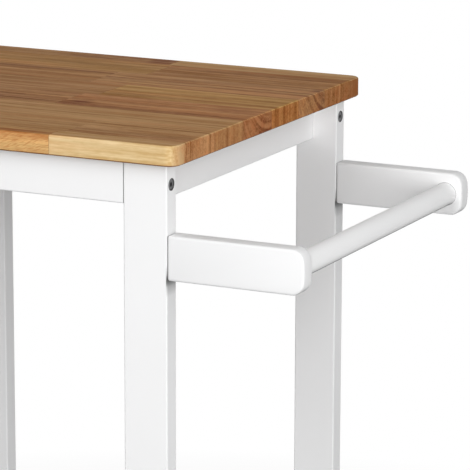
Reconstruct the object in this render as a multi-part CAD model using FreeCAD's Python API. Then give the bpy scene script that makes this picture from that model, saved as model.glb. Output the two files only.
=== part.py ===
import FreeCAD, Part
import os

# Butcher block table with a towel rail.  Units are millimetres, +Z is up.  The origin is on the floor
# under the middle of the whole table, rail included.  +X is the towel-rail end and -Y is the front.

# ---- Whole table ----
table_height = 880.0
frame_length = 516.0              # over the outer faces of the left and right legs
frame_depth = 468.0               # over the outer faces of the front and rear legs

# ---- Butcher block top ----
top_thickness = 23.0
top_overhang_end = 17.0           # past the legs, at the left and right
top_overhang_side = 14.0          # past the legs, at the front and rear
top_corner_radius = 14.0
top_edge_ease = 2.5               # rounding of the upper rim
top_lower_chamfer = 1.5
front_strip_width = 22.0          # the ripped first row, along the front edge
stave_width = 73.0                # every other full row
narrowest_strip = 15.0            # a rear remainder thinner than this joins the row before it
butt_joints_from_right = [154.0, 147.0, 340.0, 241.0, 224.0, 274.0, 237.0, 244.0]

# ---- Legs, aprons and shelf rails ----
leg_width = 53.0                  # along X
leg_thickness = 22.0              # along Y
frame_chamfer = 1.0               # broken edges of the painted wood
apron_height = 48.0               # front and rear
apron_thickness = 22.0
end_apron_height = 52.0
end_apron_thickness = 22.0
shelf_height = 190.0              # upper face of the slatted shelf above the floor
shelf_rail_height = 48.0          # front and rear
shelf_end_rail_height = 52.0

# ---- Shelf slats ----
slat_count = 8
slat_width = 42.0
slat_thickness = 15.0
slat_chamfer = 2.0

# ---- Towel rail ----
arm_reach = 163.0                 # how far the arms stand out past the legs
arm_height = 50.5
arm_thickness = 22.0              # as the legs, so that their faces run on
arm_drop = 78.5                   # underside of the top to the upper edge of the arms
arm_nose_radius = 15.0
arm_nose_crown = 2.5              # bulge of the outer end between its rounded corners
arm_chamfer = 1.5
rod_diameter = 27.0
rod_centre_reach = 142.0          # past the legs
rod_socket_depth = 9.0
rod_socket_clearance = 0.1        # on the radius
rod_end_room = 0.5

# ---- Tenons of the end rails, glued into the legs ----
tenon_thickness = 9.0
tenon_length = 12.0
tenon_shoulder = 5.0              # upper and lower edge of the rail to the tenon
tenon_bolt_wall = 3.0             # wood left between a tenon and a bolt hole
shortest_tenon = 8.0              # no tenon is cut where less height than this is left
mortise_clearance = 0.1
mortise_end_room = 0.5

# ---- Locating tenons of the bolted front and rear rails ----
stub_thickness = 12.0
stub_length = 4.0
stub_shoulder = 8.0

# ---- Connector bolts and barrel nuts ----
bolt_diameter = 6.0
bolt_head_diameter = 12.0
bolt_head_height = 3.5
bolt_hex_radius = 2.9             # across the corners of the socket, halved
bolt_hex_depth = 2.2
bolt_hole_clearance = 0.25        # on the radius, in wood
bolt_thread_clearance = 0.05      # on the radius, in steel
bolt_past_nut = 4.0
bolt_tip_room = 0.5
counterbore_diameter = 13.0
counterbore_depth = 5.0           # seats the bolt heads just under the wood
nut_diameter = 10.0
nut_length = 14.0
nut_setback = 25.0                # end of the rail to the nut's centre line
nut_clearance = 0.1
nut_slot_width = 1.6
nut_slot_depth = 1.5

# ---- Towel rail inserts ----
insert_diameter = 9.0
insert_length = 15.0
insert_clearance = 0.05
arm_bolt_edge = 13.0              # edge of the arm to the centre of the nearer bolt
arm_bolt_reach = 18.0             # how far the bolts run into the arms

# ---- Wood screws that hold the top ----
screw_diameter = 4.0
screw_head_diameter = 8.0
screw_head_height = 2.6
screw_hole_clearance = 0.1
screw_land = 20.0                 # wood left between the screw head and the top
screw_access_diameter = 9.5
screw_bite = 15.0
screw_tip_room = 0.5

# ---- Foot glides ----
glide_diameter = 18.0
glide_height = 5.0

# Bolts, nuts, inserts and screws repeat, so they and the holes they fill have this many flat sides
# in place of a round one.  Both are turned the same way, so a shank lies flat to flat in its hole.
hardware_flat_count = 12

# ---- Places worked out from the sizes above ----
middle_x = -(arm_reach - top_overhang_end) / 2
right_x = middle_x + frame_length / 2
left_x = middle_x - frame_length / 2
rear_y = frame_depth / 2
under_top = table_height - top_thickness
half_gap_x = frame_length / 2 - leg_width
half_gap_y = frame_depth / 2 - leg_thickness
arm_top = under_top - arm_drop
arm_bottom = arm_top - arm_height
arm_middle = arm_top - arm_height / 2
shelf_under = shelf_height - slat_thickness
upper_bolt_z = under_top - apron_height / 2
lower_bolt_z = shelf_height - shelf_rail_height / 2

# An edge, a rim or a point that lies nearer than this to a face belongs to it.
near = 1.0

ALONG_X = FreeCAD.Vector(1, 0, 0)
ALONG_Y = FreeCAD.Vector(0, 1, 0)
ALONG_Z = FreeCAD.Vector(0, 0, 1)
ENDS = {"left": -1, "right": 1}
SIDES = {"front": -1, "rear": 1}
CORNERS = [(end, side) for end in ENDS for side in SIDES]


def at(x, y, z):
    return FreeCAD.Vector(x, y, z)


def block(x0, x1, y0, y1, z0, z1):
    """A square-cut piece between two faces along each axis, given in either order."""
    corner = at(min(x0, x1), min(y0, y1), min(z0, z1))
    return Part.makeBox(abs(x1 - x0), abs(y1 - y0), abs(z1 - z0), corner)


def edges_along(solid, direction):
    """The straight edges that run along one direction."""
    chosen = []
    for edge in solid.Edges:
        if edge.Curve.TypeId == "Part::GeomLine":
            if abs(edge.tangentAt(edge.FirstParameter).dot(direction)) > 0.999:
                chosen.append(edge)
    return chosen


def chamfered(solid, size, direction):
    """Break the long edges that run along one direction."""
    return solid.makeChamfer(size, edges_along(solid, direction))


def placed(piece, point, direction):
    """Set a piece, made standing on the origin along +Z, at a point and facing a direction."""
    moved = piece.copy()
    moved.Placement = FreeCAD.Placement(point, FreeCAD.Rotation(ALONG_Z, direction))
    return moved


def prism(radius, length, flats, point=at(0, 0, 0), direction=ALONG_Z):
    """A bar with flat sides whose corners lie on a circle, from a point and facing a direction."""
    corners = []
    for number in range(flats + 1):
        turn = FreeCAD.Rotation(ALONG_Z, 360.0 * number / flats)
        corners.append(turn.multVec(at(radius, 0, 0)))
    bar = Part.Face(Part.makePolygon(corners)).extrude(ALONG_Z * length)
    return placed(bar, point, direction)


def pin(radius, length, point=at(0, 0, 0), direction=ALONG_Z):
    """A hardware shank, or the hole for one."""
    return prism(radius, length, hardware_flat_count, point, direction)


def save(node, pieces):
    """Write one node: a single solid, or a group of separate ones."""
    shape = pieces if isinstance(pieces, Part.Shape) else Part.makeCompound(pieces)
    shape.exportStep(os.path.join("parts", node + ".step"))


# ---- Joint layout: where bolts, nuts and tenons cross the pieces ----

def inward(end):
    """Direction from an end of the table towards its middle."""
    return ALONG_X * -ENDS[end]


def leg_outer_x(end):
    return middle_x + ENDS[end] * frame_length / 2


def leg_inner_x(end):
    return middle_x + ENDS[end] * half_gap_x


def rail_centre_y(side):
    """Centre plane of the front or rear rails, which are flush with the legs' outer faces."""
    return SIDES[side] * (rear_y - apron_thickness / 2)


def leg_centre_y(side):
    return SIDES[side] * (rear_y - leg_thickness / 2)


def end_rail_centre_x(end):
    """Centre plane of the end rails, which are flush with the legs' inner edges."""
    return middle_x + ENDS[end] * (half_gap_x + end_apron_thickness / 2)


def bolt_way(end, side, z):
    """Clearance hole of one frame bolt, through the leg and into the rail."""
    mouth = at(leg_outer_x(end), rail_centre_y(side), z)
    reach = leg_width + nut_setback + nut_diameter / 2 + bolt_past_nut
    return pin(bolt_diameter / 2 + bolt_hole_clearance, reach, mouth, inward(end))


def counterbore(end, side, z):
    mouth = at(leg_outer_x(end), rail_centre_y(side), z)
    return Part.makeCylinder(counterbore_diameter / 2, counterbore_depth, mouth, inward(end))


def nut_point(end, side, z):
    """Where the bolt's line and the barrel nut's line cross, inside the rail."""
    return at(leg_inner_x(end) - ENDS[end] * nut_setback, rail_centre_y(side), z)


def nut_hole(end, side, z):
    """Blind hole for a barrel nut, drilled from the rail's hidden inner face."""
    mouth = nut_point(end, side, z)
    mouth.y = SIDES[side] * (rear_y - apron_thickness)
    depth = apron_thickness / 2 + nut_length / 2 + nut_clearance
    return pin(nut_diameter / 2 + nut_clearance, depth, mouth, ALONG_Y * SIDES[side])


def stub_tenon(end, side, bolt_z, rail_height, room=0.0, end_room=0.0):
    """Locating tenon on the end of a front or rear rail.  With room round it, its mortise."""
    x0 = leg_inner_x(end)
    x1 = x0 + ENDS[end] * (stub_length + end_room)
    y = rail_centre_y(side)
    half_y = stub_thickness / 2 + room
    half_z = rail_height / 2 - stub_shoulder + room
    return block(x0, x1, y - half_y, y + half_y, bolt_z - half_z, bolt_z + half_z)


def end_tenons(end, side, top_z, rail_height, bolt_z, room=0.0, end_room=0.0):
    """Tenons on one end of an end rail, clear of the bolt that crosses the leg."""
    keep = bolt_diameter / 2 + bolt_hole_clearance + tenon_bolt_wall
    lowest = top_z - rail_height + tenon_shoulder
    highest = top_z - tenon_shoulder
    x = end_rail_centre_x(end)
    half_x = tenon_thickness / 2 + room
    y0 = SIDES[side] * half_gap_y
    y1 = y0 + SIDES[side] * (tenon_length + end_room)
    tenons = []
    for low, high in ((lowest, bolt_z - keep), (bolt_z + keep, highest)):
        if high - low > shortest_tenon:
            tenons.append(block(x - half_x, x + half_x, y0, y1, low - room, high + room))
    return tenons


def arm_bolt_heights():
    return [arm_top - arm_bolt_edge, arm_bottom + arm_bolt_edge]


# ---- Butcher block top ----

def top_row_edges():
    """Front and rear faces of the rows of staves, from the front edge to the rear edge."""
    front = -rear_y - top_overhang_side
    rear = rear_y + top_overhang_side
    edges = [front, front + front_strip_width]
    while edges[-1] + stave_width + narrowest_strip < rear:
        edges.append(edges[-1] + stave_width)
    return edges + [rear]


def top_blank():
    """The glued-up panel after its corners and upper rim are rounded and its lower rim chamfered."""
    x0 = left_x - top_overhang_end
    x1 = right_x + top_overhang_end
    y1 = rear_y + top_overhang_side
    panel = block(x0, x1, -y1, y1, under_top, table_height)
    panel = panel.makeFillet(top_corner_radius, edges_along(panel, ALONG_Z))
    upper_rim = [edge for edge in panel.Edges if edge.BoundBox.ZMin > table_height - near]
    panel = panel.makeFillet(top_edge_ease, upper_rim)
    lower_rim = [edge for edge in panel.Edges if edge.BoundBox.ZMax < under_top + near]
    return panel.makeChamfer(top_lower_chamfer, lower_rim)


def top_screw_points():
    """Where the screws stand under the top: two in each apron."""
    points = []
    for step in (-0.5, 0.5):
        for side in SIDES:
            points.append(at(middle_x + step * half_gap_x, rail_centre_y(side), under_top))
        for end in ENDS:
            points.append(at(end_rail_centre_x(end), step * half_gap_y, under_top))
    return points


def screw_holes(point, rail_height):
    """Access hole and clearance hole up through an apron, and the pilot hole in the top."""
    foot = point - ALONG_Z * rail_height
    access = pin(screw_access_diameter / 2, rail_height - screw_land, foot)
    reach = rail_height + screw_bite + screw_tip_room
    return [access, pin(screw_diameter / 2 + screw_hole_clearance, reach, foot)]


def make_top():
    blank = top_blank()
    pilots = []
    for point in top_screw_points():
        pilots += screw_holes(point, apron_height)
    edges = top_row_edges()
    right_edge = right_x + top_overhang_end
    left_edge = left_x - top_overhang_end
    for row in range(len(edges) - 1):
        joint = right_edge - butt_joints_from_right[row % len(butt_joints_from_right)]
        for end, x0, x1 in (("left", left_edge, joint), ("right", joint, right_edge)):
            bar = block(x0, x1, edges[row], edges[row + 1], under_top, table_height)
            save("top_stave_%d_%s" % (row + 1, end), blank.common(bar).cut(pilots))


# ---- Legs ----

def arm_bolt_ways(side):
    """Counterbored holes through a right leg, from its inner edge to the towel arm."""
    radius = bolt_diameter / 2 + bolt_hole_clearance
    ways = []
    for z in arm_bolt_heights():
        mouth = at(leg_inner_x("right"), leg_centre_y(side), z)
        ways.append(pin(radius, leg_width, mouth, ALONG_X))
        ways.append(pin(counterbore_diameter / 2, counterbore_depth, mouth, ALONG_X))
    return ways


def make_legs():
    for end, side in CORNERS:
        y_out = SIDES[side] * rear_y
        y_in = SIDES[side] * half_gap_y
        leg = block(leg_outer_x(end), leg_inner_x(end), y_out, y_in, glide_height, under_top)
        leg = chamfered(leg, frame_chamfer, ALONG_Z)
        cuts = []
        for z, height in ((upper_bolt_z, apron_height), (lower_bolt_z, shelf_rail_height)):
            cuts += [bolt_way(end, side, z), counterbore(end, side, z)]
            cuts.append(stub_tenon(end, side, z, height, mortise_clearance, mortise_end_room))
        for top_z, height, bolt_z in end_rail_levels():
            cuts += end_tenons(end, side, top_z, height, bolt_z, mortise_clearance, mortise_end_room)
        if end == "right":
            cuts += arm_bolt_ways(side)
        save("leg_%s_%s" % (side, end), leg.cut(cuts))


def make_foot_glides():
    """Nail-on plastic glides: a disc under the middle of each leg."""
    glides = []
    for end, side in CORNERS:
        x = (leg_outer_x(end) + leg_inner_x(end)) / 2
        glides.append(Part.makeCylinder(glide_diameter / 2, glide_height, at(x, leg_centre_y(side), 0)))
    save("foot_glides", glides)


# ---- Front and rear rails: the aprons under the top and the rails of the shelf ----

def long_rail(side, top_z, height, bolt_z):
    """A rail between two legs, flush with their outer faces, located by stubs and bolted at both ends."""
    y_out = SIDES[side] * rear_y
    y_in = SIDES[side] * (rear_y - apron_thickness)
    rail = block(leg_inner_x("left"), leg_inner_x("right"), y_out, y_in, top_z - height, top_z)
    rail = chamfered(rail, frame_chamfer, ALONG_X)
    rail = rail.fuse([stub_tenon(end, side, bolt_z, height) for end in ENDS])
    holes = [bolt_way(end, side, bolt_z) for end in ENDS]
    return rail.cut(holes + [nut_hole(end, side, bolt_z) for end in ENDS])


def make_long_rails():
    for side in SIDES:
        holes = []
        for point in top_screw_points():
            if abs(point.y - rail_centre_y(side)) < near:
                holes += screw_holes(point, apron_height)
        apron = long_rail(side, under_top, apron_height, upper_bolt_z)
        save("apron_" + side, apron.cut(holes))
        save("shelf_rail_" + side, long_rail(side, shelf_height, shelf_rail_height, lower_bolt_z))


# ---- End rails: tenoned and glued between the front and rear legs ----

def end_rail_levels():
    """Top face, height and the crossing bolt's height of the end apron and of the shelf end rail."""
    return [
        (under_top, end_apron_height, upper_bolt_z),
        (shelf_under, shelf_end_rail_height, lower_bolt_z),
    ]


def end_rail(end, top_z, height, bolt_z):
    x_in = leg_inner_x(end)
    x_out = x_in + ENDS[end] * end_apron_thickness
    rail = block(x_in, x_out, -half_gap_y, half_gap_y, top_z - height, top_z)
    rail = chamfered(rail, frame_chamfer, ALONG_Y)
    tenons = []
    for side in SIDES:
        tenons += end_tenons(end, side, top_z, height, bolt_z)
    return rail.fuse(tenons)


def make_end_rails():
    for end in ENDS:
        holes = []
        for point in top_screw_points():
            if abs(point.x - end_rail_centre_x(end)) < near:
                holes += screw_holes(point, end_apron_height)
        apron, shelf_rail = [end_rail(end, *level) for level in end_rail_levels()]
        save("apron_" + end, apron.cut(holes))
        save("shelf_rail_" + end, shelf_rail)


# ---- Shelf slats ----

def slat_centres():
    """Slats share the space between the front and rear shelf rails with equal gaps."""
    clear = 2 * (rear_y - apron_thickness)
    gap = (clear - slat_count * slat_width) / (slat_count + 1)
    return [-clear / 2 + gap + slat_width / 2 + number * (slat_width + gap) for number in range(slat_count)]


def make_slats():
    reach = half_gap_x + end_apron_thickness
    for number, y in enumerate(slat_centres()):
        low = y - slat_width / 2
        slat = block(middle_x - reach, middle_x + reach, low, low + slat_width, shelf_under, shelf_height)
        save("shelf_slat_%d" % (number + 1), chamfered(slat, slat_chamfer, ALONG_X))


# ---- Towel rail ----

def arm_blank(side):
    """One arm: a board on edge with a crowned, round-cornered outer end and chamfered edges."""
    y0 = leg_centre_y(side) - arm_thickness / 2
    shoulder_x = right_x + arm_reach - arm_nose_crown
    low_heel = at(right_x, y0, arm_bottom)
    high_heel = at(right_x, y0, arm_top)
    low_nose = at(shoulder_x, y0, arm_bottom)
    high_nose = at(shoulder_x, y0, arm_top)
    tip = at(right_x + arm_reach, y0, arm_middle)
    outline = Part.Wire([
        Part.makeLine(low_heel, low_nose),
        Part.Arc(low_nose, tip, high_nose).toShape(),
        Part.makeLine(high_nose, high_heel),
        Part.makeLine(high_heel, low_heel),
    ])
    board = Part.Face(outline).extrude(ALONG_Y * arm_thickness)
    corners = [edge for edge in edges_along(board, ALONG_Y) if edge.CenterOfMass.x > shoulder_x - near]
    board = board.makeFillet(arm_nose_radius, corners)
    rims = [edge for edge in edges_along(board, ALONG_Y) if edge.CenterOfMass.x < right_x + near]
    for face in board.Faces:
        if abs(face.normalAt(0, 0).y) > 0.999:
            rims += face.Edges
    return board.makeChamfer(arm_chamfer, rims)


def make_towel_rail():
    socket_radius = rod_diameter / 2 + rod_socket_clearance
    rod_x = right_x + rod_centre_reach
    arm_inner_y = rear_y - leg_thickness / 2 - arm_thickness / 2
    for side in SIDES:
        socket_mouth = at(rod_x, SIDES[side] * arm_inner_y, arm_middle)
        holes = [Part.makeCylinder(socket_radius, rod_socket_depth, socket_mouth, ALONG_Y * SIDES[side])]
        for z in arm_bolt_heights():
            heel = at(right_x, leg_centre_y(side), z)
            holes.append(pin(insert_diameter / 2 + insert_clearance, insert_length, heel, ALONG_X))
            tip_radius = bolt_diameter / 2 + bolt_hole_clearance
            holes.append(pin(tip_radius, arm_bolt_reach + bolt_tip_room, heel, ALONG_X))
        save("towel_arm_" + side, arm_blank(side).cut(holes))
    half = arm_inner_y + rod_socket_depth - rod_end_room
    save("towel_rod", Part.makeCylinder(rod_diameter / 2, 2 * half, at(rod_x, -half, arm_middle), ALONG_Y))


# ---- Hardware, each made standing along +Z and then placed ----

def connector_bolt(length):
    """Flat head bolt with a hexagon socket: underside of the head on the origin, shank along +Z."""
    head_top = at(0, 0, -bolt_head_height)
    head = pin(bolt_head_diameter / 2, bolt_head_height, head_top)
    socket = prism(bolt_hex_radius, bolt_hex_depth, 6, head_top)
    return head.cut(socket).fuse(pin(bolt_diameter / 2, length))


def barrel_nut():
    """Cross dowel with its thread across the middle and a driver slot in the end that shows."""
    barrel = pin(nut_diameter / 2, nut_length, at(0, 0, -nut_length / 2))
    thread_radius = bolt_diameter / 2 + bolt_thread_clearance
    thread = pin(thread_radius, nut_diameter, at(-nut_diameter / 2, 0, 0), ALONG_X)
    half_slot = nut_slot_width / 2
    slot_floor = nut_length / 2 - nut_slot_depth
    slot = block(-nut_diameter, nut_diameter, -half_slot, half_slot, slot_floor, nut_length)
    return barrel.cut([thread, slot])


def wood_screw(length):
    """Pan head wood screw: underside of the head on the origin, shank along +Z."""
    head = pin(screw_head_diameter / 2, screw_head_height, at(0, 0, -screw_head_height))
    return head.fuse(pin(screw_diameter / 2, length))


def make_frame_hardware():
    grip = leg_width - counterbore_depth
    length = grip + nut_setback + nut_diameter / 2 + bolt_past_nut - bolt_tip_room
    bolts = []
    nuts = []
    for end, side in CORNERS:
        for z in (upper_bolt_z, lower_bolt_z):
            seat = at(leg_outer_x(end), rail_centre_y(side), z) + inward(end) * counterbore_depth
            bolts.append(placed(connector_bolt(length), seat, inward(end)))
            nuts.append(placed(barrel_nut(), nut_point(end, side, z), ALONG_Y * -SIDES[side]))
    save("frame_bolts", bolts)
    save("barrel_nuts", nuts)


def make_towel_rail_hardware():
    bolts = []
    inserts = []
    sleeve = pin(insert_diameter / 2, insert_length)
    insert = sleeve.cut(pin(bolt_diameter / 2 + bolt_thread_clearance, insert_length))
    length = leg_width - counterbore_depth + arm_bolt_reach
    for side in SIDES:
        for z in arm_bolt_heights():
            seat = at(leg_inner_x("right") + counterbore_depth, leg_centre_y(side), z)
            bolts.append(placed(connector_bolt(length), seat, ALONG_X))
            inserts.append(placed(insert, at(right_x, leg_centre_y(side), z), ALONG_X))
    save("towel_rail_bolts", bolts)
    save("towel_rail_inserts", inserts)


def make_top_screws():
    screw = wood_screw(screw_land + screw_bite)
    lift = ALONG_Z * screw_land
    save("top_screws", [placed(screw, point - lift, ALONG_Z) for point in top_screw_points()])


os.makedirs("parts", exist_ok=True)
make_top()
make_legs()
make_foot_glides()
make_long_rails()
make_end_rails()
make_slats()
make_towel_rail()
make_frame_hardware()
make_towel_rail_hardware()
make_top_screws()
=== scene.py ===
import math

import bmesh
import bpy
from mathutils import Matrix, Vector


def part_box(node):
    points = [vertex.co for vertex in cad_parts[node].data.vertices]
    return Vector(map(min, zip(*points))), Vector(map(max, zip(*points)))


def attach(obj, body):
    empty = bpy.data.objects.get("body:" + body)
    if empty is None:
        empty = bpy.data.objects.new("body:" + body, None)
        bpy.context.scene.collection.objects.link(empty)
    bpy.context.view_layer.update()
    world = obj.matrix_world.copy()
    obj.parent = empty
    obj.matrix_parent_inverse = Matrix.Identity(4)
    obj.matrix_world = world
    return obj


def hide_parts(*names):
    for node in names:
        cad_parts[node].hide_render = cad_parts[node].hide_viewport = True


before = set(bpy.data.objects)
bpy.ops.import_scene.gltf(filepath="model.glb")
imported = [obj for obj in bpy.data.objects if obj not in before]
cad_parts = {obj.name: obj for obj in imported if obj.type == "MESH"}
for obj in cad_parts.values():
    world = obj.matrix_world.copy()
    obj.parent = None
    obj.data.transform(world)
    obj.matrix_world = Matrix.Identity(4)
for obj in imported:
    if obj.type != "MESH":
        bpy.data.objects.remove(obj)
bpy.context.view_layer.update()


# ---- Studio: camera, floor, backdrop and lamps -------------------------------------------------------
# A long lens looks slightly down on the towel-rail end of the table.  The floor and the world are white
# to the eye only: what lights the wood is a dim room and four square soft boxes that stand around it.
def new_object(name, data):
    """An object at the origin that holds the given data, linked to the scene."""
    made = bpy.data.objects.new(name, data)
    bpy.context.scene.collection.objects.link(made)
    return made


leg_low, leg_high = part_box("leg_front_right")
leg_corner = Vector((leg_high.x, leg_low.y, leg_high.z))
aim_from_corner = Vector((0.0734, 0.0171, -0.0736))
camera_distance = 3.311
camera_turn = math.radians(25.94)
camera_tilt = math.radians(12.81)
camera_roll = math.radians(0.19)
facing = Matrix.Rotation(camera_turn, 4, "Z") @ Matrix.Rotation(math.pi / 2 - camera_tilt, 4, "X")
facing = facing @ Matrix.Rotation(camera_roll, 4, "Z")
camera = new_object("camera", bpy.data.cameras.new("camera"))
camera.data.lens = 236.4
camera.data.sensor_width = 36.0
stand_back = Matrix.Translation((0, 0, camera_distance))
camera.matrix_world = Matrix.Translation(leg_corner + aim_from_corner) @ facing @ stand_back
bpy.context.scene.camera = camera
bpy.context.scene.view_settings.view_transform = "Standard"


def add_node(tree, kind, inputs=None, **settings):
    """A node with its settings, and each input given as a socket to link, a value or a colour."""
    node = tree.nodes.new(kind)
    for name, value in settings.items():
        setattr(node, name, value)
    for key, value in (inputs or {}).items():
        socket = node.inputs[key]
        if isinstance(value, bpy.types.NodeSocket):
            tree.links.new(value, socket)
        else:
            socket.default_value = (*value, 1.0) if socket.type == "RGBA" else value
    return node


def maths(tree, operation, *values):
    """The result of one step of arithmetic on numbers."""
    return add_node(tree, "ShaderNodeMath", dict(enumerate(values)), operation=operation).outputs[0]


def vector_maths(tree, operation, *values):
    """The result of one step of arithmetic on vectors, which for a length is a number."""
    node = add_node(tree, "ShaderNodeVectorMath", dict(enumerate(values)), operation=operation)
    return node.outputs["Value" if operation == "LENGTH" else "Vector"]


def spread(tree, value, low, high, to_low=0.0, to_high=1.0):
    """A value's range from low to high spread over another range, and cut off beyond it."""
    return add_node(tree, "ShaderNodeMapRange", {"Value": value, "From Min": low, "From Max": high,
                                                 "To Min": to_low, "To Max": to_high}).outputs[0]


def object_place(tree):
    """The place on the piece in metres, in the table's own frame."""
    return add_node(tree, "ShaderNodeTexCoord").outputs["Object"]


def empty_tree(owner):
    """The cleared node tree of a material or a world."""
    owner.use_nodes = True
    owner.node_tree.nodes.clear()
    return owner.node_tree


def new_material(name):
    """A material and its empty node tree."""
    material = bpy.data.materials.new(name)
    return material, empty_tree(material)


def white_to_the_eye(tree, seen_as, otherwise):
    """One shader for camera, glossy and transmission rays, another for every other ray."""
    rays = add_node(tree, "ShaderNodeLightPath").outputs
    seen = maths(tree, "MAXIMUM", rays["Is Camera Ray"], rays["Is Glossy Ray"])
    seen = maths(tree, "MAXIMUM", seen, rays["Is Transmission Ray"])
    return add_node(tree, "ShaderNodeMixShader", {0: seen, 1: otherwise, 2: seen_as}).outputs[0]


pure_white = (1.0, 1.0, 1.0)
room_light = 0.15
world = bpy.data.worlds.new("studio")
bpy.context.scene.world = world
tree = empty_tree(world)
room = add_node(tree, "ShaderNodeBackground", {"Color": pure_white, "Strength": room_light})
backdrop = add_node(tree, "ShaderNodeBackground", {"Color": pure_white, "Strength": 1.0})
mixed = white_to_the_eye(tree, backdrop.outputs[0], room.outputs[0])
add_node(tree, "ShaderNodeOutputWorld", {"Surface": mixed})

floor_reach = 30.0
floor_bounce = (0.36, 0.36, 0.36)
floor_paper = (0.95, 0.95, 0.95)
shadow_reach = 0.7
white_from = 1.5
glow_in_shadow = 0.6
floor_mesh = bpy.data.meshes.new("floor")
floor_mesh.from_pydata([(-floor_reach, -floor_reach, 0), (floor_reach, -floor_reach, 0),
                        (floor_reach, floor_reach, 0), (-floor_reach, floor_reach, 0)], [], [(0, 1, 2, 3)])
floor = new_object("floor", floor_mesh)
floor_paint, tree = new_material("floor_paint")
matt = add_node(tree, "ShaderNodeBsdfDiffuse", {"Color": floor_bounce})
glow = add_node(tree, "ShaderNodeEmission", {"Color": pure_white, "Strength": 1.0})
lit = add_node(tree, "ShaderNodeBsdfDiffuse", {"Color": floor_paper})
away = vector_maths(tree, "LENGTH", object_place(tree))
white_share = spread(tree, away, shadow_reach, white_from, glow_in_shadow, 1.0)
seen = add_node(tree, "ShaderNodeMixShader", {0: white_share, 1: lit.outputs[0], 2: glow.outputs[0]})
add_node(tree, "ShaderNodeOutputMaterial",
         {"Surface": white_to_the_eye(tree, seen.outputs[0], matt.outputs[0])})
floor_mesh.materials.append(floor_paint)

table_middle = Vector((0.0, 0.0, 0.75))


def soft_box(name, place, size, power):
    """A square area lamp, its side in metres and its power in watts, that faces the table's middle."""
    lamp = new_object(name, bpy.data.lights.new(name, "AREA"))
    lamp.data.size = size
    lamp.data.energy = power
    lamp.rotation_euler = (table_middle - Vector(place)).to_track_quat("-Z", "Y").to_euler()
    lamp.location = place


soft_box("corner_box", (2.08, -2.66, 1.11), 1.7, 69.0)
soft_box("front_box", (-0.45, -2.56, 2.94), 2.35, 52.5)
soft_box("right_box", (3.07, -0.27, 2.19), 2.35, 30.0)
soft_box("left_box", (-3.14, 0.70, 1.95), 2.35, 16.0)


# ---- Butcher block top -------------------------------------------------------------------------------
# Sixteen kiln-dried staves in eight rows, edge-glued and butt-jointed end to end, then sanded, rounded
# and rubbed with oil.  Each stave is sawn from its own log, so its growth rings have their own centre.
def new_group(name, takes, gives, kind="ShaderNodeTree"):
    """A node group with named sockets, and what comes in through them."""
    group = bpy.data.node_groups.new(name, kind)
    for side, sockets in (("INPUT", takes), ("OUTPUT", gives)):
        for socket, socket_kind in sockets.items():
            group.interface.new_socket(name=socket, in_out=side, socket_type="NodeSocket" + socket_kind)
    return group, add_node(group, "NodeGroupInput").outputs


def noise(tree, place, stretch, detail, roughness=0.5, seed=None):
    """Noise on a place that is multiplied along each axis.  Another seed gives another noise."""
    inputs = {"Vector": vector_maths(tree, "MULTIPLY", place, stretch), "Scale": 1.0, "Detail": detail,
              "Roughness": roughness}
    if seed is not None:
        inputs["W"] = seed
    return add_node(tree, "ShaderNodeTexNoise", inputs,
                    noise_dimensions="3D" if seed is None else "4D").outputs


def blend(tree, share, first, second, **settings):
    """Two colours mixed by a share, or multiplied by it where the settings say so."""
    return add_node(tree, "ShaderNodeMix", {0: share, 6: first, 7: second}, data_type="RGBA",
                    **settings).outputs[2]


red_blush = (1.02, 0.90, 0.84)
ring_red = (0.42, 0.13, 0.04)
ring_lean = 0.42
# painted shade for the top's lower face and its ease
painted_shade_underside = (0.50, 0.42, 0.36)
rings_per_seed = 17.3
mark_sway = 0.012


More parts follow.
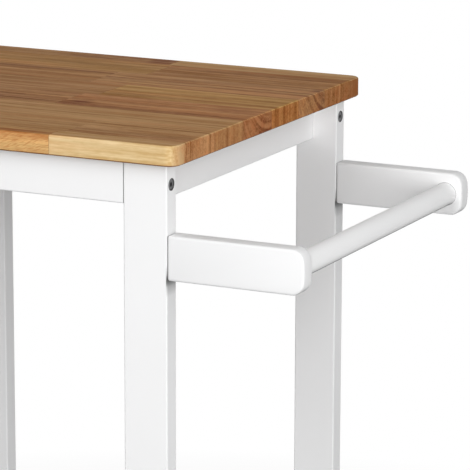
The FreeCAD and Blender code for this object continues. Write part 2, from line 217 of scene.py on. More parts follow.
def wood_group():
    """Growth rings round a pith line that runs along the stave, with veins, fibres, pores and end grain."""
    group, given = new_group(
        "sawn_stave",
        {"Pith Y": "Float", "Pith Z": "Float", "Ring Width": "Float", "Wander": "Float", "Seed": "Float",
         "Marks": "Float", "Light Wood": "Color", "Dark Wood": "Color", "Oiled Top": "Color",
         "Long Edge": "Color", "End Wood": "Color", "Dashes": "Float"},
        {"Color": "Color", "Roughness": "Float", "Height": "Float"})
    place = object_place(group)

    def streaks(stretch, detail, used, depth, own_seed):
        """The stave's own noise, with the used part of its range spread over the given depths."""
        seed = maths(group, "ADD", given["Seed"], own_seed)
        return spread(group, noise(group, place, stretch, detail, 0.6, seed)["Fac"], *used, *depth)

    def sum_of(total, *others):
        """All the given values added up."""
        for other in others:
            total = maths(group, "ADD", total, other)
        return total

    # the line of the pith wanders along the stave, and the rings with it
    wander = noise(group, place, (3.0, 12.0, 12.0), 3.0, 0.55, given["Seed"])["Color"]
    centred = vector_maths(group, "SUBTRACT", wander, (0.5, 0.5, 0.5))
    drift = vector_maths(group, "MULTIPLY", centred, given["Wander"])
    pith = add_node(group, "ShaderNodeCombineXYZ", {"Y": given["Pith Y"], "Z": given["Pith Z"]}).outputs[0]
    from_pith = vector_maths(group, "ADD", vector_maths(group, "SUBTRACT", place, pith), drift)
    radius = vector_maths(group, "LENGTH", vector_maths(group, "MULTIPLY", from_pith, (0.0, 1.0, 1.0)))
    own_start = maths(group, "MULTIPLY", given["Seed"], rings_per_seed)
    count = maths(group, "ADD", maths(group, "DIVIDE", radius, given["Ring Width"]), own_start)
    bands = add_node(group, "ShaderNodeTexNoise", {"W": count, "Scale": 1.0, "Detail": 4.0,
                                                   "Roughness": 0.62}, noise_dimensions="1D")
    band = spread(group, bands.outputs["Fac"], 0.30, 0.70, 0.05, 0.95)

    # veins and fibres are long streaks, pores are short dark dashes, and the tree's colour drifts slowly
    vein = streaks((5.0, 120.0, 120.0), detail=3.0, used=(0.34, 0.66), depth=(-0.52, 0.52), own_seed=2.1)
    fibre = streaks((13.0, 520.0, 520.0), detail=2.0, used=(0.32, 0.68), depth=(-0.44, 0.44), own_seed=5.3)
    fleck = streaks((85.0, 330.0, 330.0), detail=2.0, used=(0.32, 0.68), depth=(-0.26, 0.26), own_seed=7.9)
    cast = streaks((3.0, 20.0, 20.0), detail=2.0, used=(0.35, 0.65), depth=(-0.22, 0.22), own_seed=0.0)
    pore = streaks((120.0, 2200.0, 2200.0), detail=1.0, used=(0.62, 0.74), depth=(0.0, 0.35), own_seed=9.1)
    # a cut end shows the rings clearly, and the veins that run along the stave only as weak spots
    normal = add_node(group, "ShaderNodeSeparateXYZ",
                      {0: add_node(group, "ShaderNodeNewGeometry").outputs["Normal"]}).outputs
    cut_end = spread(group, maths(group, "ABSOLUTE", normal["X"]), 0.55, 0.90)
    clearer = maths(group, "MULTIPLY", maths(group, "SUBTRACT", band, 0.5), cut_end)
    spots = maths(group, "MULTIPLY", vein, spread(group, cut_end, 0.0, 1.0, 1.0, 0.4))
    tone = sum_of(band, clearer, spots, fibre)
    whole = sum_of(tone, fleck, cast, given["Marks"])
    shade = add_node(group, "ShaderNodeClamp", {"Value": whole, "Min": -0.25, "Max": 1.6}).outputs[0]
    # past the dark wood's own colour the same mix goes on into the darkest heartwood
    figure = blend(group, shade, given["Light Wood"], given["Dark Wood"], clamp_factor=False)
    pored = blend(group, pore, figure, given["Dark Wood"])
    # some streaks are redder than the rest
    blush = streaks((3.5, 70.0, 70.0), detail=2.0, used=(0.48, 0.66), depth=(0.0, 1.0), own_seed=11.7)
    flushed = blend(group, blush, pored, red_blush, blend_type="MULTIPLY")

    # a front edge that cuts the rings at a slant shows them as short leaning red dashes
    leaning = add_node(group, "ShaderNodeMapping", {"Vector": place, "Rotation": (0.0, ring_lean, 0.0)})
    dash = spread(group, noise(group, leaning.outputs[0], (90.0, 60.0, 620.0), 1.0)["Fac"], 0.52, 0.66)
    front_edge = spread(group, normal["Y"], -0.6, -0.9)
    dashes = maths(group, "MULTIPLY", maths(group, "MULTIPLY", dash, front_edge), given["Dashes"])
    dashed = blend(group, dashes, flushed, ring_red)

    # the upper face has browned, the long edges are palest and the ends drink the most oil, while painted
    # shade darkens the lower face and its ease
    browned = blend(group, spread(group, normal["Z"], 0.70, 0.97), given["Long Edge"], given["Oiled Top"])
    tinted = blend(group, cut_end, browned, given["End Wood"])
    shaded_below = blend(group, spread(group, normal["Z"], -0.20, -0.60), tinted, painted_shade_underside)
    finished = blend(group, 1.0, dashed, shaded_below, blend_type="MULTIPLY")
    add_node(group, "NodeGroupOutput", {"Color": finished,
                                        "Roughness": spread(group, tone, 0.0, 1.0, 0.50, 0.62),
                                        "Height": maths(group, "SUBTRACT", fibre, pore)})
    return group


def mark_group():
    """One dark or pale mark in a stave, such as a heart streak or a small knot, with soft wavy edges."""
    group, given = new_group("grain_mark", {"X": "Float", "Y": "Float", "Length": "Float",
                                            "Width": "Float", "Depth": "Float"}, {"Mark": "Float"})
    place = object_place(group)
    sway = noise(group, place, (9.0, 30.0, 30.0), 2.0)["Fac"]
    shift = maths(group, "MULTIPLY_ADD", sway, mark_sway, -mark_sway / 2)
    spot = add_node(group, "ShaderNodeSeparateXYZ", {0: place}).outputs

    def reach(position, centre, half):
        """How far the place is from the mark's centre in one direction, in half sizes, squared."""
        share = maths(group, "DIVIDE", maths(group, "SUBTRACT", position, given[centre]), given[half])
        return maths(group, "MULTIPLY", share, share)

    along = reach(spot["X"], "X", "Length")
    across = reach(maths(group, "ADD", spot["Y"], shift), "Y", "Width")
    # a long mark keeps its strength to near its ends, then dies out quickly
    from_middle = maths(group, "ADD", maths(group, "MULTIPLY", along, along), across)
    fall = maths(group, "MULTIPLY", from_middle, -1.0)
    mark = maths(group, "MULTIPLY", maths(group, "EXPONENT", fall), given["Depth"])
    add_node(group, "NodeGroupOutput", {"Mark": mark})
    return group


def glue_line_group():
    """A mask of thin lines where a board meets its neighbours, at the ends of a box along X and Y."""
    group, given = new_group("glue_lines", {"Low X": "Float", "High X": "Float", "Low Y": "Float",
                                            "High Y": "Float", "Half Width": "Float"}, {"Mask": "Float"})
    place = add_node(group, "ShaderNodeSeparateXYZ", {0: object_place(group)}).outputs
    gaps = [maths(group, "ABSOLUTE", maths(group, "SUBTRACT", place[axis], given[side + axis]))
            for axis in ("X", "Y") for side in ("Low ", "High ")]
    nearest = gaps[0]
    for gap in gaps[1:]:
        nearest = maths(group, "MINIMUM", nearest, gap)
    faded_out = maths(group, "MULTIPLY", given["Half Width"], 2.0)
    mask = spread(group, nearest, given["Half Width"], faded_out, 1.0, 0.0)
    add_node(group, "NodeGroupOutput", {"Mask": mask})
    return group


sawn_stave = wood_group()
grain_mark = mark_group()
glue_lines = glue_line_group()

# Light and dark wood of each stave, then the pith's place beside the stave's middle and above its face, the
# rings' width and how far they wander, all in metres.  A quarter-sawn stave's pith lies far to its side.
staves = {
    "1_left": ((0.66, 0.43, 0.20), (0.48, 0.26, 0.11), -0.05, 0.12, 0.006, 0.010),
    "1_right": ((0.69, 0.47, 0.27), (0.57, 0.35, 0.17), 0.30, 0.05, 0.007, 0.004),
    "2_left": ((0.62, 0.38, 0.18), (0.44, 0.24, 0.11), 0.24, -0.02, 0.010, 0.006),
    "2_right": ((0.72, 0.45, 0.24), (0.48, 0.27, 0.13), -0.40, 0.02, 0.008, 0.004),
    "3_left": ((0.62, 0.37, 0.18), (0.45, 0.25, 0.12), 0.22, 0.02, 0.010, 0.006),
    "3_right": ((0.64, 0.40, 0.20), (0.48, 0.27, 0.13), 0.35, -0.01, 0.008, 0.005),
    "4_left": ((0.60, 0.34, 0.16), (0.37, 0.18, 0.08), 0.10, 0.05, 0.009, 0.008),
    "4_right": ((0.60, 0.31, 0.14), (0.34, 0.145, 0.06), 0.030, 0.030, 0.010, 0.008),
    "5_left": ((0.58, 0.33, 0.16), (0.42, 0.22, 0.10), 0.25, 0.01, 0.007, 0.004),
    "5_right": ((0.68, 0.42, 0.17), (0.46, 0.25, 0.09), 0.45, 0.01, 0.010, 0.004),
    "6_left": ((0.62, 0.35, 0.16), (0.43, 0.22, 0.10), -0.20, 0.03, 0.010, 0.006),
    "6_right": ((0.68, 0.40, 0.20), (0.43, 0.23, 0.12), 0.055, 0.035, 0.010, 0.006),
    "7_left": ((0.66, 0.39, 0.17), (0.48, 0.27, 0.11), 0.30, 0.03, 0.010, 0.005),
    "7_right": ((0.61, 0.33, 0.15), (0.41, 0.20, 0.08), -0.30, 0.02, 0.008, 0.006),
    "8_left": ((0.62, 0.37, 0.18), (0.38, 0.19, 0.09), 0.12, 0.04, 0.009, 0.008),
    "8_right": ((0.74, 0.50, 0.28), (0.58, 0.37, 0.20), 0.28, -0.01, 0.009, 0.005),
}
# Marks that single staves have: place along X and Y, half length and half width in metres, and depth, which
# is negative for a pale mark.
marks = {
    "1_left": ((0.020, -0.236, 0.035, 0.006, 0.4),),
    "1_right": ((0.206, -0.237, 0.006, 0.030, -1.2),),
    "2_right": ((0.140, -0.206, 0.140, 0.014, 0.5), (0.206, -0.190, 0.005, 0.060, -0.6)),
    "4_left": ((-0.150, -0.062, 0.120, 0.016, 0.5), (-0.100, -0.018, 0.060, 0.006, 0.4)),
    "4_right": ((-0.016, -0.056, 0.014, 0.008, 0.8), (0.080, -0.054, 0.110, 0.003, -0.6),
                (0.080, -0.074, 0.110, 0.005, 0.3), (0.170, -0.034, 0.030, 0.010, 0.5),
                (0.206, -0.060, 0.005, 0.020, -0.8)),
    "5_right": ((0.080, 0.011, 0.160, 0.0035, 0.6), (0.120, 0.035, 0.100, 0.0035, 0.5)),
    "6_left": ((-0.150, 0.127, 0.100, 0.005, 0.9),),
    "6_right": ((0.080, 0.080, 0.140, 0.004, -0.7), (0.200, 0.131, 0.010, 0.010, 0.8)),
    "7_left": ((-0.160, 0.176, 0.120, 0.007, 0.4),),
    "7_right": ((0.080, 0.155, 0.140, 0.008, 0.5), (0.080, 0.193, 0.140, 0.009, 0.5)),
    "8_left": ((-0.060, 0.232, 0.016, 0.020, 0.7), (-0.160, 0.222, 0.030, 0.008, 0.4)),
    "8_right": ((0.205, 0.232, 0.006, 0.030, 1.4), (0.205, 0.246, 0.006, 0.002, -0.8)),
}
# Tints by which the oil changes the wood on each face.  Some staves have their own on the long edge and the
# cut end, and the last number is how strongly slanted rings dash the long edge.
oiled_top = (0.70, 0.62, 0.46)
most_staves = ((1.09, 1.20, 1.15), (0.68, 0.53, 0.41), 0.0)
own_tints = {
    "1_left": ((1.07, 1.05, 0.94), (0.70, 0.54, 0.42), 0.45),
    "1_right": ((1.10, 1.23, 1.19), (0.84, 0.76, 0.63), 0.0),
    "2_right": ((1.10, 1.22, 1.18), (0.72, 0.57, 0.45), 0.0),
    "4_right": ((1.10, 1.22, 1.18), (0.65, 0.53, 0.46), 0.0),
    "5_right": ((1.10, 1.22, 1.18), (0.69, 0.48, 0.36), 0.0),
    "6_right": ((1.10, 1.22, 1.18), (0.68, 0.57, 0.44), 0.0),
    "7_right": ((1.10, 1.22, 1.18), (0.71, 0.58, 0.47), 0.0),
    "8_right": ((1.10, 1.22, 1.18), (0.60, 0.39, 0.24), 0.0),
}
seed_step = 3.7
glue_brown = (0.14, 0.07, 0.03)
glue_strength = 0.5
glue_half_width = 0.00018
on_the_rim = 0.001
# a line set this far away never shows
no_line = 9.0
stave_boxes = {name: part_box("top_stave_" + name) for name in staves}
top_rim = {"Low X": min(low.x for low, high in stave_boxes.values()),
           "High X": max(high.x for low, high in stave_boxes.values()),
           "Low Y": min(low.y for low, high in stave_boxes.values()),
           "High Y": max(high.y for low, high in stave_boxes.values())}


def oiled_stave(name, number):
    """One stave's own wood, with its marks and with glue lines against the staves beside it."""
    light, dark, pith_y, pith_z, ring_width, wander = staves[name]
    long_edge, end_wood, dashes = own_tints.get(name, most_staves)
    low, high = stave_boxes[name]
    finish, tree = new_material("oiled_stave_" + name)
    marked = 0.0
    for x, y, length, width, depth in marks.get(name, ()):
        mark = add_node(tree, "ShaderNodeGroup", {"X": x, "Y": y, "Length": length, "Width": width,
                                                  "Depth": depth}, node_tree=grain_mark)
        marked = maths(tree, "ADD", marked, mark.outputs["Mark"])
    wood = add_node(tree, "ShaderNodeGroup",
                    {"Pith Y": (low.y + high.y) / 2 + pith_y, "Pith Z": high.z + pith_z,
                     "Ring Width": ring_width, "Wander": wander, "Seed": seed_step * number,
                     "Marks": marked, "Light Wood": light, "Dark Wood": dark, "Oiled Top": oiled_top,
                     "Long Edge": long_edge, "End Wood": end_wood, "Dashes": dashes},
                    node_tree=sawn_stave).outputs
    sides = {"Low X": low.x, "High X": high.x, "Low Y": low.y, "High Y": high.y}
    glued = {side: no_line if abs(at - top_rim[side]) < on_the_rim else at for side, at in sides.items()}
    lines = add_node(tree, "ShaderNodeGroup", {**glued, "Half Width": glue_half_width},
                     node_tree=glue_lines).outputs["Mask"]
    color = blend(tree, maths(tree, "MULTIPLY", lines, glue_strength), wood["Color"], glue_brown)
    bump = add_node(tree, "ShaderNodeBump", {"Height": wood["Height"], "Strength": 0.12,
                                             "Distance": 0.0003})
    oil = add_node(tree, "ShaderNodeBsdfPrincipled", {"Base Color": color, "Roughness": wood["Roughness"],
                                                      "Normal": bump.outputs[0],
                                                      "Specular IOR Level": 0.03})
    add_node(tree, "ShaderNodeOutputMaterial", {"Surface": oil.outputs[0]})
    return finish


def dress(node, material):
    """Give a piece from the frame its one material."""
    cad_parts[node].data.materials.clear()
    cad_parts[node].data.materials.append(material)


for number, name in enumerate(staves):
    dress("top_stave_" + name, oiled_stave(name, number))


# ---- Painted frame -----------------------------------------------------------------------------------
# Legs, aprons, shelf rails and slats of solid pine, chamfered and sprayed with a satin white lacquer that
# lets a little grain through.  Where two boards meet, a hairline stays open between them.
def paint_group():
    """White lacquer over wood: a faint tone drift, telegraphed grain along one axis, and orange peel."""
    group, given = new_group("sprayed_lacquer", {"Grain Scale": "Vector", "Paint": "Color"},
                             {"Color": "Color", "Roughness": "Float", "Height": "Float"})
    place = object_place(group)
    drift = noise(group, place, (9.0, 9.0, 9.0), 2.0)["Fac"]
    thin = blend(group, drift, (0.975, 0.975, 0.975), (1.02, 1.02, 1.02))
    color = blend(group, 1.0, given["Paint"], thin, blend_type="MULTIPLY")
    grain = noise(group, place, given["Grain Scale"], 2.0)["Fac"]
    peel = noise(group, place, (900.0, 900.0, 900.0), 1.0)["Fac"]
    add_node(group, "NodeGroupOutput", {"Color": color,
                                        "Roughness": spread(group, grain, 0.0, 1.0, 0.46, 0.56),
                                        "Height": maths(group, "MULTIPLY_ADD", peel, 0.35, grain)})
    return group


def round_edge_group():
    """A mask between two radii of an axis or a point, mirrored to all sides: a hole's lip, or a ring."""
    group, given = new_group("round_edge", {"Centre": "Vector", "Across": "Vector",
                                            "Inner Radius": "Float", "Outer Radius": "Float"},
                             {"Mask": "Float"})
    mirrored = vector_maths(group, "ABSOLUTE", object_place(group))
    flat = vector_maths(group, "MULTIPLY", vector_maths(group, "SUBTRACT", mirrored, given["Centre"]),
                       given["Across"])
    radius = vector_maths(group, "LENGTH", flat)
    outside = maths(group, "GREATER_THAN", radius, given["Inner Radius"])
    inside = maths(group, "LESS_THAN", radius, given["Outer Radius"])
    add_node(group, "NodeGroupOutput", {"Mask": maths(group, "MULTIPLY", outside, inside)})
    return group


def patch_group():
    """A mask of the surface inside a box, mirrored to all sides, that fades in from its foot and its top."""
    group, given = new_group("boxed_patch", {"Low": "Vector", "High": "Vector", "Fade": "Float"},
                             {"Mask": "Float"})
    mirrored = vector_maths(group, "ABSOLUTE", object_place(group))
    above = vector_maths(group, "SUBTRACT", mirrored, given["Low"])
    below = vector_maths(group, "SUBTRACT", given["High"], mirrored)
    least = add_node(group, "ShaderNodeSeparateXYZ",
                     {0: vector_maths(group, "MINIMUM", above, below)}).outputs
    beside = maths(group, "GREATER_THAN", maths(group, "MINIMUM", least["X"], least["Y"]), 0.0)
    height = spread(group, least["Z"], 0.0, given["Fade"])
    add_node(group, "NodeGroupOutput", {"Mask": maths(group, "MULTIPLY", beside, height)})
    return group


sprayed_lacquer = paint_group()
round_edge = round_edge_group()
boxed_patch = patch_group()


def seam(places, half_width, strength):
    """Open joints at the given places along X or Y.  This and the next two make a lacquer's dark spots,
    whose patches are painted shade.
    """
    lines = {side: places.get(side, no_line) for side in ("Low X", "High X", "Low Y", "High Y")}
    return glue_lines, {**lines, "Half Width": half_width}, strength


def ring(centre, across, inner, outer, strength):
    """A ring between two radii, measured only along the axes that across keeps."""
    return round_edge, {"Centre": centre, "Across": across, "Inner Radius": inner,
                        "Outer Radius": outer}, strength


def patch(x, y, z, fade, strength):
    """A box given by its range along each axis, where painted shade darkens the coat."""
    low, high = zip(x, y, z)
    return boxed_patch, {"Low": low, "High": high, "Fade": fade}, strength


# the near-black of the open joints and the hole rings, and of the painted shade in the patches
near_black_for_joints_and_shade = (0.06, 0.06, 0.06)
edge_round = 0.0012
round_the_x_axis = (0.0, 1.0, 1.0)
round_a_point = (1.0, 1.0, 1.0)
to_the_middle = -1.0


def lacquer(name, grain_scale, paint, joints_holes_and_painted_shade):
    """Lacquer in one tone, mixed towards near-black at its dark joints, its rings and its patches of painted
    shade.
    """
    finish, tree = new_material(name)
    coat = add_node(tree, "ShaderNodeGroup", {"Grain Scale": grain_scale, "Paint": paint},
                    node_tree=sprayed_lacquer).outputs
    color = coat["Color"]
    for group, places, strength in joints_holes_and_painted_shade:
        mask = add_node(tree, "ShaderNodeGroup", places, node_tree=group).outputs["Mask"]
        color = blend(tree, maths(tree, "MULTIPLY", mask, strength), color, near_black_for_joints_and_shade)
    rounded = add_node(tree, "ShaderNodeBevel", {"Radius": edge_round}, samples=4)
    bump = add_node(tree, "ShaderNodeBump", {"Height": coat["Height"], "Strength": 0.08,
                                             "Distance": 0.0002, "Normal": rounded.outputs[0]})
    shell = add_node(tree, "ShaderNodeBsdfPrincipled", {"Base Color": color, "Roughness": coat["Roughness"],
                                                        "Normal": bump.outputs[0],
                                                        "Specular IOR Level": 0.3})
    add_node(tree, "ShaderNodeOutputMaterial", {"Surface": shell.outputs[0]})
    return finish


white = (0.872, 0.873, 0.876)
hairline = 0.00012
open_joint = 0.0003
grain_along_x = (6.0, 300.0, 300.0)
grain_along_y = (300.0, 6.0, 300.0)
grain_along_z = (300.0, 300.0, 6.0)
far_leg_low, far_leg_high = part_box("leg_rear_left")

# the counterbores of the bolts are coloured near-black inside and in a thin ring round their lips
bolt_head_radius = 0.006
bolt_hole_lip = 0.0070
bolts_low, bolts_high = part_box("frame_bolts")
bolt_centre_y = bolts_high.y - bolt_head_radius
bolt_heights = (bolts_low.z + bolt_head_radius, bolts_high.z - bolt_head_radius)
bolt_holes = [ring((0.0, bolt_centre_y, z), round_the_x_axis, to_the_middle, bolt_hole_lip, 1.0)
              for z in bolt_heights]

# painted shade darkens the legs behind the towel arms' heels, and a painted shadow darkens them just below
# the arms
arm_low, arm_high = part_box("towel_arm_rear")
leg_skin = (leg_high.x - 0.0012, leg_high.x + 0.0012)
beside_heel = (arm_low.y - 0.002, arm_high.y + 0.002)
painted_shade_behind_heel = patch((leg_high.x - 0.0003, leg_high.x + 0.0012), beside_heel,
                    (arm_low.z + 0.0005, arm_high.z - 0.0005), fade=0.0005, strength=0.4)
painted_shadow_below_arm = patch(leg_skin, beside_heel, (arm_low.z - 0.018, arm_low.z + 0.019), fade=0.018, strength=0.72)
painted_shadow_close_below_arm = patch(leg_skin, beside_heel, (arm_low.z - 0.007, arm_low.z + 0.007), fade=0.006, strength=0.65)
upright = lacquer("white_lacquer_upright", grain_along_z, white,
                  [*bolt_holes, painted_shade_behind_heel, painted_shadow_below_arm, painted_shadow_close_below_arm])

# rails meet the legs in a hairline, and the end rails' rear joint stands a little wider open
lengthwise = lacquer("white_lacquer_lengthwise", grain_along_x, white,
                     [seam({"Low X": leg_low.x, "High X": far_leg_high.x}, hairline, 0.8)])
crosswise = lacquer("white_lacquer_crosswise", grain_along_y, white,
                    [seam({"Low Y": leg_high.y}, hairline, 0.8),
                     seam({"High Y": far_leg_low.y}, open_joint, 0.6)])
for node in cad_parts:
    if node.startswith("leg_"):
        dress(node, upright)
    elif node in ("apron_left", "apron_right", "shelf_rail_left", "shelf_rail_right"):
        dress(node, crosswise)
    elif node.startswith(("apron_", "shelf_")):
        dress(node, lengthwise)


# ---- Towel rail --------------------------------------------------------------------------------------
# Two arms of solid pine, band-sawn to a round nose and rounded over all their edges, the heel's too, so
# that a groove stays against the leg.  A turned beech rod is glued into a blind socket of each arm, and all
# three are sprayed white.
arm_nose_radius = 0.015
arm_nose_crown = 0.0025
arm_edge_radius = 0.0030
arm_edge_steps = 4
nose_steps = 8
crown_steps = 6
sharper_than = math.radians(40)
smooth_up_to = math.radians(35)
rod_low, rod_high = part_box("towel_rod")
rod_radius = (rod_high.x - rod_low.x) / 2
rod_axis = Vector(((rod_low.x + rod_high.x) / 2, 0.0, (rod_low.z + rod_high.z) / 2))


def arc(centre_x, centre_z, radius, start, end, steps):
    """Points of an arc in the plane of X and Z, both its ends included."""
    angles = [start + (end - start) * step / steps for step in range(steps + 1)]
    return [(centre_x + radius * math.cos(angle), centre_z + radius * math.sin(angle)) for angle in angles]


def smooth_object(name, shape, material):
    """An object made from a bmesh, smooth but for its sharp edges, in one material."""
    for face in shape.faces:
        face.smooth = True
    mesh = bpy.data.meshes.new(name)
    shape.to_mesh(mesh)
    shape.free()
    mesh.set_sharp_from_angle(angle=smooth_up_to)
    mesh.materials.append(material)
    return new_object(name, mesh)


def towel_arm(side, paint):
    """One arm: its outline with the crowned nose, extruded through its thickness, with rounded edges."""
    low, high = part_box("towel_arm_" + side)
    half_height = (high.z - low.z) / 2
    middle_z = (high.z + low.z) / 2
    crown_radius = half_height ** 2 / (2 * arm_nose_crown) + arm_nose_crown / 2
    crown_x = high.x - crown_radius
    corner_z = half_height - arm_nose_radius
    corner_x = crown_x + math.sqrt((crown_radius - arm_nose_radius) ** 2 - corner_z ** 2)
    meeting = math.atan2(corner_z, corner_x - crown_x)
    outline = [(low.x, high.z)]
    outline += arc(corner_x, middle_z + corner_z, arm_nose_radius, math.pi / 2, meeting, nose_steps)
    outline += arc(crown_x, middle_z, crown_radius, meeting, -meeting, crown_steps)[1:-1]
    outline += arc(corner_x, middle_z - corner_z, arm_nose_radius, -meeting, -math.pi / 2, nose_steps)
    outline += [(low.x, low.z)]
    shape = bmesh.new()
    board = shape.faces.new([shape.verts.new((x, low.y, z)) for x, z in outline])
    pushed = bmesh.ops.extrude_face_region(shape, geom=[board])
    bmesh.ops.translate(shape, vec=(0.0, high.y - low.y, 0.0),
                        verts=[item for item in pushed["geom"] if isinstance(item, bmesh.types.BMVert)])
    bmesh.ops.recalc_face_normals(shape, faces=shape.faces)
    sharp = [edge for edge in shape.edges if edge.calc_face_angle(0.0) > sharper_than]
    bmesh.ops.bevel(shape, geom=sharp, offset=arm_edge_radius, segments=arm_edge_steps, profile=0.5,
                    affect="EDGES", clamp_overlap=True)
    piece = smooth_object("rounded_arm_" + side, shape, paint)
    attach(piece, "root")
    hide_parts("towel_arm_" + side)


# a glue line rings the rod at each arm, painted shade darkens the groove at the front heel, and a painted
# shadow darkens the arms under their noses
rod_seam = ring((rod_axis.x, arm_low.y, rod_axis.z), round_a_point, rod_radius - 0.001,
                rod_radius + 0.0006, 0.6)
painted_shade_heel_groove = patch((leg_high.x - 0.001, leg_high.x + 0.0016), (arm_low.y - 0.001, arm_high.y + 0.001),
                    (arm_low.z - 0.001, arm_high.z + 0.001), fade=0.0001, strength=0.45)
painted_shadow_under_nose = patch((arm_high.x - 0.017, arm_high.x + 0.001), (arm_low.y + 0.0012, arm_high.y - 0.0012),
                   (arm_low.z - 0.007, arm_low.z + 0.009), fade=0.007, strength=0.55)
# the arms' white is a darker copy of the frame's white: painted shade that takes back some of the light
# falling on the arms
arm_shaded_tone = 0.97
arm_shaded_white = [arm_shaded_tone * tone for tone in white]
towel_arm("front", lacquer("white_lacquer_front_arm", grain_along_x, arm_shaded_white,
                           [rod_seam, painted_shade_heel_groove, painted_shadow_under_nose]))
towel_arm("rear", lacquer("white_lacquer_rear_arm", grain_along_x, arm_shaded_white, [rod_seam, painted_shadow_under_nose]))

rod_sides = 72
# the rod's white is a lighter copy of the frame's white: painted light that brightens the whole rod
rod_lit_white = (0.92, 0.92, 0.92)
shape = bmesh.new()
rings = []
for y in (rod_low.y, rod_high.y):
    turns = [2 * math.pi * turn / rod_sides for turn in range(rod_sides)]
    rings.append([shape.verts.new((rod_axis.x + rod_radius * math.cos(angle), y,
                                   rod_axis.z + rod_radius * math.sin(angle))) for angle in turns])
for turn in range(rod_sides):
    shape.faces.new((rings[0][turn], rings[0][turn - 1], rings[1][turn - 1], rings[1][turn]))
for end in rings:
    shape.faces.new(end)
bmesh.ops.recalc_face_normals(shape, faces=shape.faces)
# painted shade darkens the rod's underside, more and more towards its bottom
whole_rod = (-rod_high.y, rod_high.y)
painted_shade_rod_under = patch((rod_low.x, rod_high.x), whole_rod, (rod_low.z - 0.001, rod_axis.z - 0.62 * rod_radius),
                  fade=0.001, strength=0.85)
painted_shade_rod_soft = patch((rod_low.x, rod_high.x), whole_rod, (rod_low.z - 0.004, rod_axis.z - 0.28 * rod_radius),
                  fade=0.004, strength=0.22)
turned_rod = smooth_object("turned_rod", shape,
                           lacquer("white_lacquer_rod", grain_along_y, rod_lit_white, [painted_shade_rod_under, painted_shade_rod_soft]))
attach(turned_rod, "root")
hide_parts("towel_rod")


# ---- Hardware ----------------------------------------------------------------------------------------
# Connector bolts in black zinc, with a rounded head and a hexagon socket, sit just under the legs' faces.
# Barrel nuts, inserts and screws are bright zinc, and the nail-on glides are moulded plastic.
def metal(name, color, roughness):
    """Plated steel whose tone and roughness vary in fine speckles."""
    finish, tree = new_material(name)
    speckle = noise(tree, object_place(tree), (1500.0, 1500.0, 1500.0), 2.0)["Fac"]
    tint = blend(tree, speckle, [0.85 * tone for tone in color], [1.15 * tone for tone in color])
    rough = spread(tree, speckle, 0.0, 1.0, roughness - 0.06, roughness + 0.06)
    shell = add_node(tree, "ShaderNodeBsdfPrincipled", {"Base Color": tint, "Metallic": 1.0,
                                                        "Roughness": rough})
    add_node(tree, "ShaderNodeOutputMaterial", {"Surface": shell.outputs[0]})
    return finish


def moulded_plastic():
    """Off-white plastic with the fine texture of its mould."""
    finish, tree = new_material("moulded_plastic")
    speckle = noise(tree, object_place(tree), (1200.0, 1200.0, 1200.0), 2.0)["Fac"]
    tint = blend(tree, speckle, (0.72, 0.72, 0.71), (0.80, 0.80, 0.79))
    bump = add_node(tree, "ShaderNodeBump", {"Height": speckle, "Strength": 0.2, "Distance": 0.0002})
    shell = add_node(tree, "ShaderNodeBsdfPrincipled", {"Base Color": tint, "Roughness": 0.55,
                                                        "Normal": bump.outputs[0]})
    add_node(tree, "ShaderNodeOutputMaterial", {"Surface": shell.outputs[0]})
    return finish


# radius of each ring of the bolt, and its depth behind the head's face, from the rim to the shank
bolt_profile = ((0.0054, 0.0), (0.0058, 0.0002), (bolt_head_radius, 0.0007), (bolt_head_radius, 0.0045),
                (0.0029, 0.0045))
bolt_sides = 24
socket_flat = 0.0050
socket_depth = 0.0030


def bolt_mesh(name, length):
    """A bolt along X with its head's face at the origin, its socket sunk in it, and its shank behind."""
    shape = bmesh.new()

    def ring_of(radius, depth, hexagon=False):
        """A ring of points round the bolt, which lie on a hexagon's flats or on a circle."""
        points = []
        for turn in range(bolt_sides):
            angle = 2 * math.pi * turn / bolt_sides
            reach = radius
            if hexagon:
                reach = radius / math.cos((angle + math.pi / 6) % (math.pi / 3) - math.pi / 6)
            points.append(shape.verts.new((-depth, reach * math.cos(angle), reach * math.sin(angle))))
        return points

    rings = [ring_of(socket_flat / 2, socket_depth, True), ring_of(socket_flat / 2, 0.0, True)]
    rings += [ring_of(radius, depth) for radius, depth in bolt_profile]
    rings.append(ring_of(bolt_profile[-1][0], length))
    for one, two in zip(rings, rings[1:]):
        for turn in range(bolt_sides):
            shape.faces.new((one[turn - 1], one[turn], two[turn], two[turn - 1]))
    shape.faces.new(rings[0])
    shape.faces.new(rings[-1])
    bmesh.ops.recalc_face_normals(shape, faces=shape.faces)
    mesh = bpy.data.meshes.new(name)
    shape.to_mesh(mesh)
    shape.free()
    return mesh


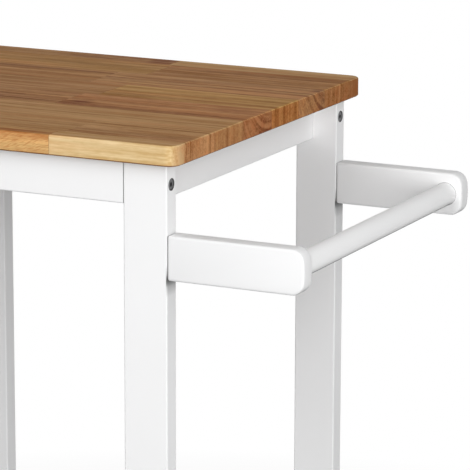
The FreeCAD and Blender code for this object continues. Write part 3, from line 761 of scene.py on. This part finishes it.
def bolt_layout():
    """The tree that sets one bolt on each point and turns those left of the middle to face the other way."""
    tree, given = new_group("bolt_layout", {"Geometry": "Geometry", "Bolt": "Object", "Middle X": "Float",
                                            "Finish": "Material"}, {"Geometry": "Geometry"},
                            "GeometryNodeTree")
    pattern = add_node(tree, "GeometryNodeObjectInfo", {"Object": given["Bolt"]}).outputs["Geometry"]
    spot = add_node(tree, "ShaderNodeSeparateXYZ",
                    {0: add_node(tree, "GeometryNodeInputPosition").outputs[0]}).outputs
    turn = maths(tree, "MULTIPLY", maths(tree, "LESS_THAN", spot["X"], given["Middle X"]), math.pi)
    turned = add_node(tree, "ShaderNodeCombineXYZ", {"Z": turn}).outputs[0]
    placed = add_node(tree, "GeometryNodeInstanceOnPoints", {"Points": given["Geometry"],
                                                             "Instance": pattern, "Rotation": turned})
    real = add_node(tree, "GeometryNodeRealizeInstances", {"Geometry": placed.outputs[0]})
    coated = add_node(tree, "GeometryNodeSetMaterial", {"Geometry": real.outputs[0],
                                                        "Material": given["Finish"]})
    add_node(tree, "NodeGroupOutput", {"Geometry": coated.outputs[0]})
    return tree


black_zinc = metal("black_zinc", (0.15, 0.15, 0.155), 0.45)
bright_zinc = metal("bright_zinc", (0.62, 0.62, 0.62), 0.35)

# the heads sit just under the legs' faces, and the shanks end a little past the barrel nuts
head_sunk = 0.0005
nut_across = 0.0100
bolt_past_nut = 0.0035
nuts_outer_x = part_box("barrel_nuts")[1].x
bolt_length = leg_high.x - head_sunk - nuts_outer_x + nut_across + bolt_past_nut
points = bpy.data.meshes.new("bolt_points")
points.from_pydata([(x, y, z) for x in (far_leg_low.x + head_sunk, leg_high.x - head_sunk)
                    for y in (-bolt_centre_y, bolt_centre_y) for z in bolt_heights], [], [])
layout = new_object("bolt_layout", points)
pattern = bpy.data.objects.new("bolt_pattern", bolt_mesh("socket_bolt", bolt_length))
modifier = layout.modifiers.new("bolts", "NODES")
modifier.node_group = bolt_layout()
sockets = {item.name: item.identifier for item in modifier.node_group.interface.items_tree
           if item.in_out == "INPUT"}
modifier[sockets["Bolt"]] = pattern
modifier[sockets["Middle X"]] = (leg_low.x + far_leg_high.x) / 2
modifier[sockets["Finish"]] = black_zinc
bolts = layout.evaluated_get(bpy.context.evaluated_depsgraph_get())
socket_bolts = new_object("socket_bolts", bpy.data.meshes.new_from_object(bolts))
layout.modifiers.remove(modifier)
bpy.data.objects.remove(layout)
bpy.data.objects.remove(pattern)
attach(socket_bolts, "root")
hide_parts("frame_bolts")

dress("towel_rail_bolts", black_zinc)
for node in ("barrel_nuts", "towel_rail_inserts", "top_screws"):
    dress(node, bright_zinc)
dress("foot_glides", moulded_plastic())
